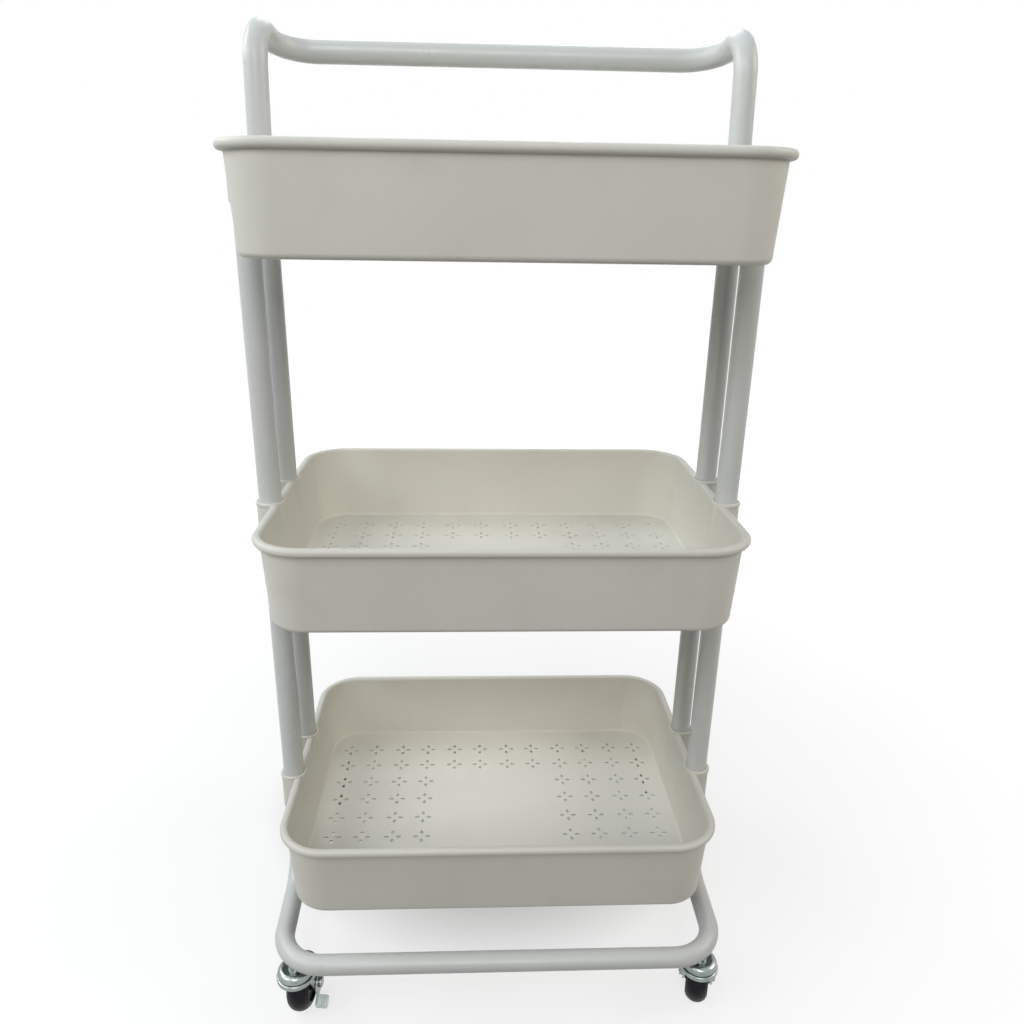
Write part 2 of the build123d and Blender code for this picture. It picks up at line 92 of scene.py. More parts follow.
# Tubes and collars
TUBE_RADIUS = 10.3
TUBE_CLEARANCE = 0.15
POST_X = 211.5
POST_Y = 36.0
COLLAR_WALL = 2.0
COLLAR_HEIGHT = 41.0
COLLAR_ROUND = 2.0
COLLAR_LIP = 3.4
COLLAR_LIP_RISE = 1.4
COLLAR_LIP_REACH = 0.9
COLLAR_LIP_ROUND = 1.2
COLLAR_LIP_UNDER = 0.8
COLLAR_MOUTH = 0.6
COLLAR_BORE = TUBE_RADIUS + TUBE_CLEARANCE
COLLAR_RADIUS = COLLAR_BORE + COLLAR_WALL
SEAT_DEPTH = 19.0
SOCKET_END = 39.8
SOCKET_ROUND = 1.5
CAP_CROWN = 0.8
TUBE_SIDES = 56
BEND_STEPS = 20
# The bent tubes are thinner by this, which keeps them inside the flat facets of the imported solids
FACET_TRIM = 0.04

# Caster wheels
WHEEL_RADIUS = 27.0
WHEEL_WIDTH = 21.5
WHEEL_RIM_RADIUS = 18.0
WHEEL_HUB_RADIUS = 8.0
WHEEL_DISH = 3.0
WHEEL_BORE = 4.62
WHEEL_RIM_ROUND = 0.5
WHEEL_WEB_ROUND = 0.7
WHEEL_HUB_ROUND = 0.5
WHEEL_ROUND_STEPS = 4
WHEEL_SIDES = 72
TREAD_EDGE_RADIUS = 20.5
TREAD_EDGE_ROUND = 0.6
TREAD_STEPS = 20

# Caster forks and cups
CASTER_TRAIL = 18.5
TRAIL_ANGLE = 90.0
CASTER_SHARP_ANGLE = 40.0
PART_GAP = 0.4
SHEET = 2.0
PLATE_SIDES = 40
STEM_CLEAR_RADIUS = 4.06
CROWN_GAP = 1.8
CROWN_BOTTOM = 2.0 * WHEEL_RADIUS + CROWN_GAP
CROWN_TOP = CROWN_BOTTOM + SHEET
CROWN_RADIUS = 17.8
CROWN_ROUND = 1.4
CROWN_SKIRT = 4.8
SKIRT_TUCK = 0.2
SKIRT_EDGE_ROUND = 0.6
SKIRT_INNER_ROUND = 0.3
CHEEK_INNER = WHEEL_WIDTH / 2.0 + 2.0
CHEEK_OUTER = CHEEK_INNER + SHEET
CHEEK_TOP_FRONT = 8.0
CHEEK_TOP_BACK = 10.0
AXLE_BOSS_RADIUS = 8.5
FORK_BEVEL = 0.4
BEARING_HEIGHT = 4.2
CUP_RADIUS = 16.4
CUP_ROOF = 3.8
CUP_SKIRT_BOTTOM = CROWN_TOP + PART_GAP
CUP_CEILING = CROWN_TOP + BEARING_HEIGHT
CUP_TOP = CUP_CEILING + CUP_ROOF
CUP_DOME_ROUND = 4.6
CUP_SHOULDER_RADIUS = 11.6
CUP_RECESS_RADIUS = 10.4
CUP_RECESS = 1.8
CUP_BOSS_RADIUS = 5.8
CUP_BOSS_RISE = 2.4
CUP_BOSS_TOP = CUP_TOP + CUP_BOSS_RISE
CUP_INNER_ROUND = 1.0
CUP_EDGE_ROUND = 0.6
CUP_BOSS_ROUND = 0.5

# Caster brakes
LEVER_INNER = CHEEK_OUTER + PART_GAP
LEVER_SHEET = 1.6
LEVER_DISC_RADIUS = 11.0
LEVER_ARM_WIDTH = 11.0
LEVER_BEVEL = 0.25
PEDAL_INNER = 11.0
PEDAL_OUTER = 23.0
PEDAL_REACH = 12.5
PEDAL_CORNER = 2.5
PEDAL_ANGLE = 225.0
PEDAL_RIBS = 5
RIB_HEIGHT = 0.7
RIB_WIDTH = 1.3
# The room past the last rib, as a share of the step between ribs
RIB_END_ROOM = 0.5

# Each caster's name, how far it is turned at rest in degrees, and whether it has a brake
CASTERS = (
    ("front_left", 6.0, True),
    ("front_right", 18.0, False),
    ("rear_right", 186.0, True),
    ("rear_left", 198.0, False),
)

# Handle and base frames
HANDLE_APEX = 105.5
HANDLE_BAR_HEIGHT = 92.0
HANDLE_BACK = 76.0
HANDLE_NARROWING = 4.0
HANDLE_LEAN = 2.5
HANDLE_LEAN_START = 8.0
HANDLE_LEAN_BEND = 100.0
HANDLE_TOP_BEND = 30.0
HANDLE_CORNER_BEND = 40.0
BUSHING_SHOWS = 0.6
BASE_TUBE_RADIUS = 9.5
BASE_HEIGHT = CUP_BOSS_TOP + BUSHING_SHOWS + BASE_TUBE_RADIUS
BASE_DROP = 116.5
BASE_REACH = 138.0
BASE_NARROWING = 3.0
LEG_BEND = 45.0
CORNER_BEND = 42.0
BASE_X = POST_X - BASE_NARROWING
BASE_Y = POST_Y + BASE_REACH

# The heights of the trays' rims
RIMS = {
    "bottom_tray": BASE_HEIGHT + BASE_DROP,
    "middle_tray": BASE_HEIGHT + BASE_DROP + TRAY_PITCH,
    "top_tray": BASE_HEIGHT + BASE_DROP + 2.0 * TRAY_PITCH,
}

# Materials: most of a cloudy pattern's values lie between these two
PATTERN_LOW = 0.3
PATTERN_HIGH = 0.7
WHITE = (1.0, 1.0, 1.0)

# Stage, in metres
FLOOR_HALF = 6.0
FLOOR_FAR = 2.0
SHADOW_MIDDLE = (0.0, 0.19, 0.0)
LAMP_TARGET = (0.0, 0.0, 0.5)
AMBIENT = 0.02
AMBIENT_COLOR = (1.0, 0.98, 0.94)
COOL = (0.62, 0.80, 1.0)
PLAIN = (0.94, 0.975, 1.0)
WARM = (1.0, 0.955, 0.86)
BACKGROUND_RAYS = ("Is Camera Ray", "Is Glossy Ray", "Is Transmission Ray")
# The floor's own glow, by the distance from the middle of the cart's shadow: weakest near that middle as a
# painted shadow under the cart, and white farther off
FLOOR_GLOW_AND_PAINTED_SHADOW = ((0.14, 0.24), (0.30, 0.72), (0.90, 0.85), (1.60, 1.0))
# Each lamp's name, place, size, power in watts and colour
LAMPS = (
    ("key", (-0.4, -1.3, 1.85), 0.4, 4.2, COOL),
    ("top", (0.0, 0.1, 2.6), 1.6, 5.0, COOL),
    ("front", (0.0, -2.2, 1.7), 1.0, 17.5, WARM),
    ("left_front", (-1.6, -1.1, 1.7), 1.2, 13.0, PLAIN),
    ("left", (-1.75, 0.5, 1.8), 1.2, 17.0, PLAIN),
    ("far_left", (-4.0, -0.9, 2.5), 1.6, 20.0, WARM),
    ("right", (1.85, 0.0, 1.5), 1.2, 8.5, WARM),
    ("far_right", (4.0, -0.5, 2.5), 1.6, 26.0, WARM),
    ("back", (0.0, 1.6, 2.2), 1.2, 12.0, PLAIN),
)

# Camera, fitted to the photograph: millimetres for the eye, degrees for turns, pixels for the view
EYE_X = -28.4
EYE_Y = -780.0
EYE_BELOW_TOP_RIM = 48.2
YAW = 2.615
PITCH = 20.537
ROLL = 0.925
IMAGE_PIXELS = 1024.0
FOCAL_PIXELS = 844.19
VIEW_MIDDLE = (506.3, 533.1)
SENSOR_WIDTH = 36.0
NEAREST_SEEN = 10.0


# Shapes: every function gives points in millimetres and faces as lists of point numbers


def rounded(corners, rounds, steps):
    """Straight runs through the corners, with an arc of the given round at each corner that has one."""
    corners = [Vector(corner) for corner in corners]
    points = []
    for index, radius in enumerate(rounds):
        corner = corners[index]
        if radius == 0.0:
            points.append(corner)
            continue
        before = (corners[index - 1] - corner).normalized()
        after = (corners[(index + 1) % len(corners)] - corner).normalized()
        half = before.angle(after) / 2.0
        reach = radius / tan(half)
        centre = corner + (before + after).normalized() * (radius / sin(half))
        start = corner + before * reach - centre
        end = corner + after * reach - centre
        turn = start.angle(end)
        for step in range(steps + 1):
            part = step / steps
            arm = (start * sin((1.0 - part) * turn) + end * sin(part * turn)) / sin(turn)
            points.append(centre + arm)
    return points


def profile(*corners, steps=ROUND_STEPS):
    """A rounded outline in the plane of an axis, from corners of radius, height and round."""
    places = [(radius, 0.0, height) for radius, height, _ in corners]
    points = rounded(places, [corner[2] for corner in corners], steps)
    return [(point.x, point.z) for point in points]


def strips(rows, closed):
    """Four-sided faces between rows of point numbers that each run round in a ring."""
    faces = []
    pairs = list(zip(rows, rows[1:]))
    if closed:
        pairs.append((rows[-1], rows[0]))
    for lower, upper in pairs:
        for index in range(len(lower)):
            following = (index + 1) % len(lower)
            face = (lower[index], lower[following], upper[following], upper[index])
            face = tuple(dict.fromkeys(face))
            if len(face) > 2:
                faces.append(face)
    return faces


def lathe(outline, sides, closed=True):
    """A turned shape about the Z axis from an outline of radius and height."""
    points = []
    rows = []
    for radius, height in outline:
        if radius == 0.0:
            rows.append([len(points)] * sides)
            points.append(Vector((0.0, 0.0, height)))
            continue
        rows.append(list(range(len(points), len(points) + sides)))
        for side in range(sides):
            angle = 2.0 * pi * side / sides
            points.append(Vector((radius * cos(angle), radius * sin(angle), height)))
    return points, strips(rows, closed)


def lathe_part(outline, start, end, steps):
    """A part of a turned shape about the Z axis, between two angles, with flat ends."""
    points = []
    rows = []
    for step in range(steps + 1):
        angle = radians(start + (end - start) * step / steps)
        rows.append(list(range(len(points), len(points) + len(outline))))
        points += [Vector((radius * cos(angle), radius * sin(angle), height)) for radius, height in outline]
    return points, strips(rows, False) + [tuple(rows[0]), tuple(rows[-1])]


def tube_along(path, radius, sides):
    """A round bar with flat ends along a path of points."""
    points = []
    rows = []
    sideways = None
    for index, place in enumerate(path):
        ahead = path[min(index + 1, len(path) - 1)]
        behind = path[max(index - 1, 0)]
        along = (ahead - behind).normalized()
        if sideways is None:
            sideways = along.orthogonal()
        sideways = (sideways - along * sideways.dot(along)).normalized()
        across = along.cross(sideways)
        rows.append(list(range(len(points), len(points) + sides)))
        for side in range(sides):
            angle = 2.0 * pi * side / sides
            points.append(place + radius * (cos(angle) * sideways + sin(angle) * across))
    return points, strips(rows, False) + [tuple(rows[0]), tuple(rows[-1])]


def slab(outline, thickness):
    """A flat plate from an outline in the XY plane, upwards by its thickness."""
    count = len(outline)
    points = [Vector((x, y, 0.0)) for x, y in outline] + [Vector((x, y, thickness)) for x, y in outline]
    bottom = list(range(count))
    top = list(range(count, 2 * count))
    return points, strips([bottom, top], False) + [tuple(bottom), tuple(top)]


def box_shape(size, middle):
    """A box by its size and its middle."""
    half = Vector(size) / 2.0
    outline = [(-half.x, -half.y), (half.x, -half.y), (half.x, half.y), (-half.x, half.y)]
    return placed(slab(outline, size[2]), Matrix.Translation(Vector(middle) - Vector((0.0, 0.0, half.z))))


def circle(radius, sides, middle):
    """Points round a circle in a plane."""
    angles = [2.0 * pi * side / sides for side in range(sides)]
    return [(middle[0] + radius * cos(angle), middle[1] + radius * sin(angle)) for angle in angles]


def hull_outline(corners):
    """The outline that is stretched round corners in a plane."""
    return [corners[number] for number in convex_hull_2d([Vector(corner) for corner in corners])]


def placed(shape, matrix):
    """A shape moved by a matrix."""
    points, faces = shape
    return [matrix @ point for point in points], faces


def joined(*shapes):
    """Several shapes as one."""
    points = []
    faces = []
    for more_points, more_faces in shapes:
        faces += [tuple(number + len(points) for number in face) for face in more_faces]
        points += more_points
    return points, faces


def mesh_of(name, shape):
    """A mesh in metres from a shape in millimetres, with its faces turned outwards."""
    points, faces = shape
    mesh = bpy.data.meshes.new(name)
    mesh.from_pydata([point * MM for point in points], [], faces)
    edit = bmesh.new()
    edit.from_mesh(mesh)
    bmesh.ops.recalc_face_normals(edit, faces=edit.faces)
    edit.to_mesh(mesh)
    edit.free()
    return mesh


def piece(name, mesh, material, body, nodes, sharp=SHARP_ANGLE, bevel=0.0):
    """A finished piece of the cart: shown in place of its CAD nodes, and moving with its body."""
    mesh.shade_smooth()
    mesh.set_sharp_from_angle(angle=radians(sharp))
    mesh.materials.clear()
    mesh.materials.append(material)
    made = bpy.data.objects.new(name, mesh)
    bpy.context.scene.collection.objects.link(made)
    if bevel > 0.0:
        edge = made.modifiers.new("soft_edges", "BEVEL")
        edge.width = bevel * MM
        edge.segments = BEVEL_SEGMENTS
        edge.limit_method = "ANGLE"
        edge.angle_limit = radians(sharp)
        edge.harden_normals = True
    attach(made, body)
    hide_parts(*nodes)
    return made


# Materials


class Finish:
    """A node material that is put together a step at a time."""

    def __init__(self, name, color, roughness, metallic=0.0):
        self.material = bpy.data.materials.new(name)
        self.material.use_nodes = True
        self.tree = self.material.node_tree
        self.shader = self.tree.nodes["Principled BSDF"]
        self.shader.inputs["Base Color"].default_value = (*color, 1.0)
        self.shader.inputs["Roughness"].default_value = roughness
        self.shader.inputs["Metallic"].default_value = metallic
        self.place = self.tree.nodes.new("ShaderNodeTexCoord").outputs["Object"]
        self.last_normal = None

    def noise(self, scale, detail, stretch=(1.0, 1.0, 1.0)):
        """A cloudy pattern, with its scale in repeats per metre."""
        mapping = self.tree.nodes.new("ShaderNodeMapping")
        mapping.inputs["Scale"].default_value = stretch
        self.tree.links.new(self.place, mapping.inputs["Vector"])
        texture = self.tree.nodes.new("ShaderNodeTexNoise")
        texture.inputs["Scale"].default_value = scale
        texture.inputs["Detail"].default_value = detail
        self.tree.links.new(mapping.outputs["Vector"], texture.inputs["Vector"])
        return texture.outputs["Fac"]

    def ramp(self, factor, *stops):
        """Colours by a pattern's value."""
        ramp = self.tree.nodes.new("ShaderNodeValToRGB")
        elements = ramp.color_ramp.elements
        while len(elements) < len(stops):
            elements.new(0.5)
        for element, (position, color) in zip(elements, stops):
            element.position = position
            element.color = (*color, 1.0)
        self.tree.links.new(factor, ramp.inputs["Fac"])
        return ramp.outputs["Color"]

    def clouds(self, scale, detail, dark, light):
        """A cloudy pattern between two colours."""
        return self.ramp(self.noise(scale, detail), (PATTERN_LOW, dark), (PATTERN_HIGH, light))

    def tint(self, under, over):
        """One colour pattern multiplied by another."""
        mix = self.tree.nodes.new("ShaderNodeMix")
        mix.data_type = "RGBA"
        mix.blend_type = "MULTIPLY"
        mix.inputs["Factor"].default_value = 1.0
        self.tree.links.new(under, mix.inputs["A"])
        self.tree.links.new(over, mix.inputs["B"])
        return mix.outputs["Result"]

    def paint(self, color):
        """Links a colour pattern to the surface."""
        self.tree.links.new(color, self.shader.inputs["Base Color"])

    def gloss(self, factor, low, high):
        """Varies the roughness between two values by a pattern."""
        spread = self.tree.nodes.new("ShaderNodeMapRange")
        spread.inputs["From Min"].default_value = PATTERN_LOW
        spread.inputs["From Max"].default_value = PATTERN_HIGH
        spread.inputs["To Min"].default_value = low
        spread.inputs["To Max"].default_value = high
        self.tree.links.new(factor, spread.inputs["Value"])
        self.tree.links.new(spread.outputs["Result"], self.shader.inputs["Roughness"])

    def specular(self, level):
        """Sets how strongly a surface that is no metal reflects."""
        self.shader.inputs["Specular IOR Level"].default_value = level

    def bump(self, factor, strength, height):
        """Raises the surface by a pattern, with its height in millimetres."""
        bump = self.tree.nodes.new("ShaderNodeBump")
        bump.inputs["Strength"].default_value = strength
        bump.inputs["Distance"].default_value = height * MM
        self.tree.links.new(factor, bump.inputs["Height"])
        if self.last_normal is not None:
            self.tree.links.new(self.last_normal, bump.inputs["Normal"])
        self.last_normal = bump.outputs["Normal"]
        self.tree.links.new(self.last_normal, self.shader.inputs["Normal"])


def tray_plastic():
    """Moulded plastic: warm white, finely grained, with faint flow marks and stains."""
    finish = Finish("tray_plastic", color=(0.735, 0.72, 0.66), roughness=0.48)
    clouds = finish.clouds(scale=7.0, detail=4.0, dark=(0.71, 0.695, 0.632), light=(0.75, 0.738, 0.68))
    spots = finish.noise(scale=17.0, detail=5.0)
    stains = finish.ramp(spots, (0.58, WHITE), (0.74, (0.965, 0.95, 0.945)))
    finish.paint(finish.tint(clouds, stains))
    finish.gloss(finish.noise(scale=60.0, detail=4.0), low=0.42, high=0.54)
    finish.bump(finish.noise(scale=14.0, detail=2.0), strength=0.25, height=0.25)
    finish.bump(finish.noise(scale=1500.0, detail=2.0), strength=0.10, height=0.05)
    return finish.material


def tube_paint():
    """Powder coat on steel tube: neutral white, with orange peel and a few scuffs."""
    finish = Finish("tube_paint", color=(0.675, 0.686, 0.672), roughness=0.34)
    clouds = finish.clouds(scale=9.0, detail=4.0, dark=(0.655, 0.667, 0.654), light=(0.695, 0.705, 0.69))
    streaks = finish.noise(scale=160.0, detail=5.0, stretch=(1.0, 1.0, 0.25))
    scuffs = finish.ramp(streaks, (0.68, WHITE), (0.80, (0.90, 0.89, 0.87)))
    finish.paint(finish.tint(clouds, scuffs))
    finish.gloss(finish.noise(scale=45.0, detail=4.0), low=0.27, high=0.40)
    finish.bump(finish.noise(scale=420.0, detail=2.0), strength=0.16, height=0.08)
    return finish.material


def cap_plastic():
    """The caps' plastic: white, smoother than the trays."""
    finish = Finish("cap_plastic", color=(0.66, 0.665, 0.66), roughness=0.36)
    clouds = finish.clouds(scale=30.0, detail=3.0, dark=(0.64, 0.645, 0.64), light=(0.675, 0.68, 0.672))
    finish.paint(clouds)
    finish.bump(finish.noise(scale=900.0, detail=2.0), strength=0.12, height=0.05)
    return finish.material


def zinc_plate():
    """Bright zinc plating: faintly blue and green, with fine rolling marks and dull patches."""
    finish = Finish("zinc_plate", color=(0.31, 0.345, 0.34), roughness=0.24, metallic=1.0)
    sheen = finish.ramp(
        finish.noise(scale=120.0, detail=4.0),
        (0.3, (0.25, 0.285, 0.275)),
        (0.55, (0.31, 0.345, 0.34)),
        (0.75, (0.39, 0.41, 0.40)),
    )
    finish.paint(sheen)
    finish.gloss(finish.noise(scale=260.0, detail=4.0), low=0.16, high=0.34)
    rolling_marks = finish.noise(scale=900.0, detail=3.0, stretch=(1.0, 1.0, 0.2))
    finish.bump(rolling_marks, strength=0.10, height=0.04)
    return finish.material


def plain_steel():
    """Plain steel for the bearings and stems: grey, with turning marks."""
    finish = Finish("plain_steel", color=(0.45, 0.455, 0.46), roughness=0.36, metallic=1.0)
    clouds = finish.clouds(scale=200.0, detail=4.0, dark=(0.38, 0.385, 0.39), light=(0.50, 0.505, 0.51))
    finish.paint(clouds)
    finish.gloss(finish.noise(scale=500.0, detail=3.0), low=0.28, high=0.46)
    turning_marks = finish.noise(scale=600.0, detail=3.0, stretch=(0.2, 0.2, 3.0))
    finish.bump(turning_marks, strength=0.12, height=0.04)
    return finish.material


def wheel_plastic():
    """Black wheel plastic, with grey dust and fine scuffs."""
    finish = Finish("wheel_plastic", color=(0.012, 0.011, 0.014), roughness=0.36)
    dust = finish.ramp(
        finish.noise(scale=140.0, detail=5.0),
        (0.45, (0.006, 0.005, 0.008)),
        (0.70, (0.012, 0.011, 0.014)),
        (0.85, (0.032, 0.030, 0.032)),
    )
    finish.paint(dust)
    finish.specular(0.16)
    finish.gloss(finish.noise(scale=320.0, detail=4.0), low=0.28, high=0.52)
    finish.bump(finish.noise(scale=700.0, detail=3.0), strength=0.15, height=0.06)
    return finish.material


# Trays


def rim_places():
    """The places round a tray, as points to offset from and directions outwards."""
    half_x = TRAY_LENGTH / 2.0 - RIM_CORNER
    half_y = TRAY_WIDTH / 2.0 - RIM_CORNER
    centres = [
        Vector((half_x, half_y, 0.0)),
        Vector((-half_x, half_y, 0.0)),
        Vector((-half_x, -half_y, 0.0)),
        Vector((half_x, -half_y, 0.0)),
    ]
    places = []
    for quarter, centre in enumerate(centres):
        for step in range(CORNER_STEPS + 1):
            angle = radians(90.0 * (quarter + step / CORNER_STEPS))
            outwards = Vector((cos(angle), sin(angle), 0.0))
            places.append((centre, outwards))
        following = centres[(quarter + 1) % len(centres)]
        for step in range(1, SIDE_STEPS):
            places.append((centre.lerp(following, step / SIDE_STEPS), outwards))
    return places


def tray_section():
    """The wall's section from the floor's underside round to its top, as inset and depth."""
    slope = tan(radians(WALL_DRAFT))
    inside = RIM_OVERHANG + TRAY_WALL
    floor_top = TRAY_DEPTH - TRAY_FLOOR
    on_floor = RIM_CORNER
    inner_round = FLOOR_EDGE_ROUND - min(TRAY_WALL, TRAY_FLOOR)
    points = profile(
        (on_floor, TRAY_DEPTH, 0.0),
        (RIM_OVERHANG + TRAY_DEPTH * slope, TRAY_DEPTH, FLOOR_EDGE_ROUND),
        (RIM_OVERHANG + RIM_HEIGHT * slope, RIM_HEIGHT, RIM_NECK_ROUND),
        (0.0, RIM_HEIGHT, RIM_UNDER_ROUND),
        (0.0, 0.0, RIM_TOP_ROUND),
        (inside, 0.0, RIM_INNER_ROUND),
        (inside + floor_top * slope, floor_top, inner_round),
        (on_floor, floor_top, 0.0),
        steps=RIM_ROUND_STEPS,
    )
    return points[1:-1]


def tray_shell():
    """The tray without its collars, with plain floors."""
    places = rim_places()
    points = []
    rows = []
    for inset, depth in tray_section():
        rows.append(list(range(len(points), len(points) + len(places))))
        for anchor, outwards in places:
            points.append(anchor + outwards * (RIM_CORNER - inset) - Vector((0.0, 0.0, depth)))
    return points, strips(rows, False) + [tuple(rows[0]), tuple(rows[-1])]


def at_posts(shape):
    """A shape repeated at the four posts of a tray."""
    places = [(x, y, 0.0) for x in (-POST_X, POST_X) for y in (-POST_Y, POST_Y)]
    return joined(*[placed(shape, Matrix.Translation(place)) for place in places])


def collar_blanks():
    """The collars with their lips, before they are bored."""
    lip_radius = COLLAR_RADIUS + COLLAR_LIP_REACH
    lip_bottom = COLLAR_LIP_RISE - COLLAR_LIP
    blank = profile(
        (0.0, COLLAR_LIP_RISE, 0.0),
        (lip_radius, COLLAR_LIP_RISE, COLLAR_LIP_ROUND),
        (lip_radius, lip_bottom, COLLAR_LIP_UNDER),
        (COLLAR_RADIUS, lip_bottom, 0.0),
        (COLLAR_RADIUS, -COLLAR_HEIGHT, COLLAR_ROUND),
        (0.0, -COLLAR_HEIGHT, 0.0),
    )
    return at_posts(lathe(blank, TUBE_SIDES, closed=False))


def collar_cutters():
    """The bores through the collars, a little wider at their mouths."""
    above = COLLAR_LIP_RISE + RIM_HEIGHT
    cutter = [
        (0.0, above),
        (COLLAR_BORE + COLLAR_MOUTH, above),
        (COLLAR_BORE + COLLAR_MOUTH, COLLAR_LIP_RISE),
        (COLLAR_BORE, COLLAR_LIP_RISE - COLLAR_MOUTH),
        (COLLAR_BORE, -TRAY_DEPTH + FLOOR_EDGE_ROUND),
        (0.0, -TRAY_DEPTH + FLOOR_EDGE_ROUND),
    ]
    return at_posts(lathe(cutter, TUBE_SIDES, closed=False))


def cut(mesh, operation, shape):
    """A mesh joined with a shape, or with a shape cut away."""
    work = bpy.data.objects.new("work", mesh)
    tool = bpy.data.objects.new("tool", mesh_of("tool", shape))
    for temporary in (work, tool):
        bpy.context.scene.collection.objects.link(temporary)
    modifier = work.modifiers.new("cut", "BOOLEAN")
    modifier.operation = operation
    modifier.object = tool
    modifier.solver = "EXACT"
    bpy.context.view_layer.update()
    result = bpy.data.meshes.new_from_object(work.evaluated_get(bpy.context.evaluated_depsgraph_get()))
    for temporary in (work, tool):
        bpy.data.objects.remove(temporary)
    return result


def paired_places(count, step, pair_gap):
    """Places along a line, centred on zero, in pairs that stand a little apart."""
    places = [index * step + (index // 2) * pair_gap for index in range(count)]
    middle = (places[0] + places[-1]) / 2.0
    return [place - middle for place in places]


def flower_places():
    """The drain flowers' centres: a full grid without its plain middle panel."""
    side_columns = (FLOWER_COLUMNS - PLAIN_COLUMNS) // 2
    side_rows = (FLOWER_ROWS - PLAIN_ROWS) // 2
    places = []
    for column, x in enumerate(paired_places(FLOWER_COLUMNS, FLOWER_STEP_X, PAIR_GAP_X)):
        for row, y in enumerate(paired_places(FLOWER_ROWS, FLOWER_STEP_Y, PAIR_GAP_Y)):
            plain_column = side_columns <= column < FLOWER_COLUMNS - side_columns
            plain_row = side_rows <= row < FLOWER_ROWS - side_rows
            if not (plain_column and plain_row):
                places.append((x, y))
    return places


def petal_outlines(margin):
    """The outline of every petal of every flower, widened by a margin."""
    outlines = []
    for x, y in flower_places():
        for petal in range(PETALS):
            turn = Matrix.Rotation(petal * 2.0 * pi / PETALS, 2)
            outline = []
            for step in range(PETAL_POINTS):
                angle = 2.0 * pi * step / PETAL_POINTS
                along = PETAL_OFFSET + (PETAL_LENGTH / 2.0 + margin) * cos(angle)
                across = (PETAL_WIDTH / 2.0 + margin) * sin(angle)
                outline.append(Vector((x, y)) + turn @ Vector((along, across)))
            outlines.append(outline)
    return outlines


def pierced_face(edge, holes, height):
    """A flat face between its outer edge and its holes."""
    points = list(edge)
    owner = [-1] * len(edge)
    loops = [(0, len(edge))]
    for number, hole in enumerate(holes):
        loops.append((len(points), len(hole)))
        points += hole
        owner += [number] * len(hole)
    edges = [(start + i, start + (i + 1) % count) for start, count in loops for i in range(count)]
    _, _, triangles, sources, _, _ = delaunay_2d_cdt(points, edges, [], TRIANGLES_INSIDE, PLANE_TOLERANCE)
    faces = []
    for triangle in triangles:
        numbers = [sources[corner][0] for corner in triangle]
        owners = {owner[number] for number in numbers}
        if len(owners) > 1 or owners == {-1}:
            faces.append(tuple(numbers))
    return [Vector((point.x, point.y, height)) for point in points], faces


def pierced_floor():
    """Both faces of the floor, and the walls of its drain holes."""
    section = tray_section()
    bevelled = petal_outlines(PETAL_EDGE)
    straight = petal_outlines(0.0)
    heights = (-TRAY_DEPTH, -TRAY_DEPTH + TRAY_FLOOR)
    shapes = []
    for (inset, _), height in zip((section[0], section[-1]), heights):
        edge = [(anchor + outwards * (RIM_CORNER - inset)).to_2d() for anchor, outwards in rim_places()]
        shapes.append(pierced_face(edge, bevelled, height))
    levels = [
        (bevelled, heights[0]),
        (straight, heights[0] + PETAL_EDGE),
        (straight, heights[1] - PETAL_EDGE),
        (bevelled, heights[1]),
    ]
    starts = [level * PETAL_POINTS for level in range(len(levels))]
    rows = [list(range(start, start + PETAL_POINTS)) for start in starts]
    for number in range(len(straight)):
        points = [Vector((p.x, p.y, height)) for outlines, height in levels for p in outlines[number]]
        shapes.append((points, strips(rows, False)))
    return joined(*shapes)


def tray_mesh():
    """One whole tray, with its rim's top at zero height."""
    mesh = mesh_of("tray", tray_shell())
    mesh = cut(mesh, "UNION", collar_blanks())
    mesh = cut(mesh, "DIFFERENCE", collar_cutters())
    edit = bmesh.new()
    edit.from_mesh(mesh)
    plain_floors = [face for face in edit.faces if len(face.verts) == len(rim_places())]
    bmesh.ops.delete(edit, geom=plain_floors, context="FACES_ONLY")
    edit.from_mesh(mesh_of("floor", pierced_floor()))
    bmesh.ops.remove_doubles(edit, verts=edit.verts, dist=WELD_DISTANCE * MM)
    bmesh.ops.recalc_face_normals(edit, faces=edit.faces)
    edit.to_mesh(mesh)
    edit.free()
    return mesh


def add_trays(material):
    """The three trays at their heights."""
    one_tray = tray_mesh()
    for name, rim in RIMS.items():
        mesh = one_tray.copy()
        mesh.transform(Matrix.Translation((0.0, 0.0, rim * MM)))
        made = piece(f"{name}_moulding", mesh, material, "frame", [name])
        made.modifiers.new("even_shading", "WEIGHTED_NORMAL").keep_sharp = True


# Tubes


def bent_tube(radius, half, bends):
    """A bent tube that is alike on both sides, from the corners of its right half."""
    other = [(-x, y, z) for x, y, z in reversed(half)]
    rounds = (0.0, *bends, *reversed(bends), 0.0)
    return tube_along(rounded(half + other, rounds, BEND_STEPS), radius - FACET_TRIM, TUBE_SIDES)


def tube_piece(name, shape, material):
    """A painted tube in place of its CAD node."""
    piece(f"{name}_tube", mesh_of(name, shape), material, "frame", [name])


def add_handle(material):
    """The handle, from the top tray's rear collars."""
    rim = RIMS["top_tray"]
    half = [
        (POST_X, POST_Y, rim - SEAT_DEPTH),
        (POST_X, POST_Y, rim + HANDLE_LEAN_START),
        (POST_X - HANDLE_LEAN, POST_Y, rim + HANDLE_APEX),
        (POST_X - HANDLE_NARROWING, POST_Y + HANDLE_BACK, rim + HANDLE_BAR_HEIGHT),
    ]
    bends = (HANDLE_LEAN_BEND, HANDLE_TOP_BEND, HANDLE_CORNER_BEND)
    tube_piece("handle", bent_tube(TUBE_RADIUS, half, bends), material)


